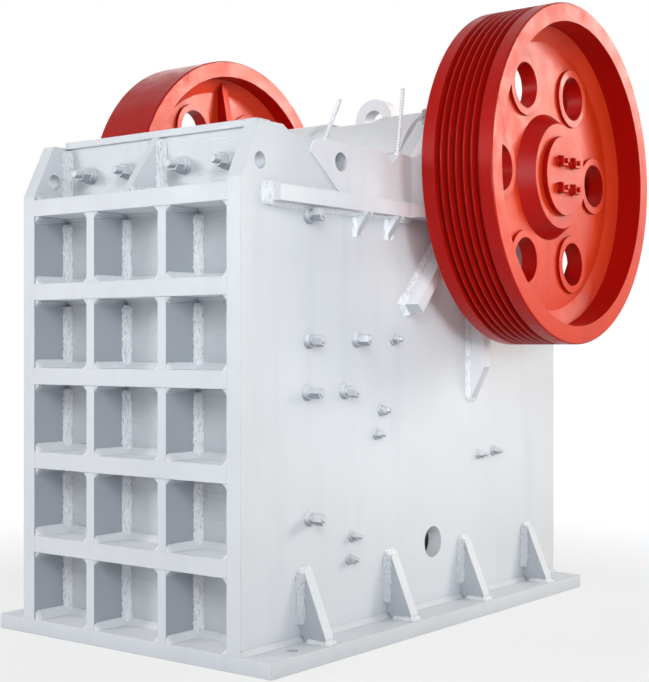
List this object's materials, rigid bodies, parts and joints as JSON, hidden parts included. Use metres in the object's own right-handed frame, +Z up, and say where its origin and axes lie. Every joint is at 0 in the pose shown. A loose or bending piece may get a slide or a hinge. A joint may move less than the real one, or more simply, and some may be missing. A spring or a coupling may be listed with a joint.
{
  "type": "jaw crusher",
  "caption": "Jaw crusher on a welded white plate frame with a ribbed front, an eccentric shaft with red grooved sheave and flywheel, and a toothed swing jaw facing a fixed jaw.",
  "frame": {"origin": "floor level, in the middle of the base", "axes": "+Z up, +Y from the ribbed front wall to the rear, +X towards the grooved sheave"},
  "size_m": [2.052, 2.214, 2.43],
  "materials": {
    "frame_paint": "satin paint on welded plate",
    "wheel_paint": "orange-red paint on cast iron",
    "jaw_iron": "dark cast manganese steel, unpainted",
    "bare_steel": "machined steel"
  },
  "bodies": {
    "frame": {"bar_stubs": "bare_steel", "bearing_braces_left": "frame_paint", "bearing_braces_right": "frame_paint", "bearing_housing_left": "frame_paint", "bearing_housing_right": "frame_paint", "cheek_plate_left": "jaw_iron", "cheek_plate_right": "jaw_iron", "fixed_jaw_liner": "jaw_iron", "foot_gussets_left": "frame_paint", "foot_gussets_right": "frame_paint", "foot_plate_left": "frame_paint", "foot_plate_right": "frame_paint", "front_beam_1": "frame_paint", "front_beam_2": "frame_paint", "front_beam_3": "frame_paint", "front_beam_4": "frame_paint", "front_beam_5": "frame_paint", "front_ribs_left": "frame_paint", "front_ribs_right": "frame_paint", "front_sill": "frame_paint", "front_wall": "frame_paint", "main_bearing_left": "bare_steel", "main_bearing_right": "bare_steel", "pedestal_left": "frame_paint", "pedestal_right": "frame_paint", "rear_sill": "frame_paint", "rear_wall": "frame_paint", "rod_spring": "bare_steel", "shelf_left": "frame_paint", "shelf_right": "frame_paint", "side_plate_left": "frame_paint", "side_plate_right": "frame_paint", "tension_rod": "bare_steel", "toggle_beam": "frame_paint", "toggle_plate": "frame_paint", "top_gusset": "frame_paint"},
    "rotor": {"eccentric_shaft": "bare_steel", "sheave": "wheel_paint", "flywheel": "wheel_paint", "end_cap_right": "wheel_paint", "end_cap_left": "wheel_paint"},
    "jaw": {"swing_jaw": "frame_paint", "swing_jaw_liner": "jaw_iron", "lifting_eye": "frame_paint"}
  },
  "joints": [
    {"name": "rotor_spin", "type": "hinge", "parent": "frame", "child": "rotor", "pos_m": [0, 0.369, 1.762], "axis": [1, 0, 0], "continuous": true},
    {"name": "jaw_orbit", "type": "hinge", "parent": "rotor", "child": "jaw", "pos_m": [0, 0.369, 1.75], "axis": [1, 0, 0], "continuous": true}
  ],
  "couplings": [
    {"joint": "jaw_orbit", "follows": "rotor_spin", "ratio": -1}
  ]
}
